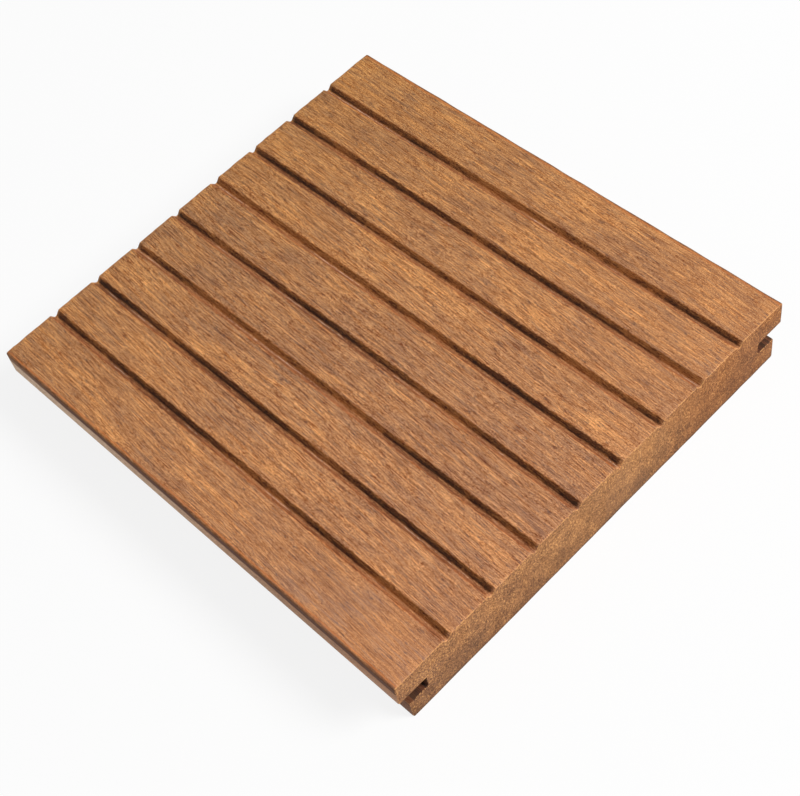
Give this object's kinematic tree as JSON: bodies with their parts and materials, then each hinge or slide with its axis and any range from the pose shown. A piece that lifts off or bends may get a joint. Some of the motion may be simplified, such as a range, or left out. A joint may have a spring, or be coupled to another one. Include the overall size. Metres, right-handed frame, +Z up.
{
  "type": "bamboo decking board",
  "caption": "Short length of strand-woven bamboo decking board, with a grooved wear face, a flat underside and a clip slot along each long edge.",
  "frame": {"origin": "middle of the flat underside, halfway along and halfway across the board", "axes": "+X along the fibres, +Y across the board, +Z up out of the grooved wear face"},
  "size_m": [0.15, 0.14, 0.02],
  "materials": {
    "strand_woven_bamboo": "oiled, satin, with fine fibre streaks along the board and speckled end grain"
  },
  "bodies": {
    "root": {"decking_board": "strand_woven_bamboo"}
  },
  "joints": []
}
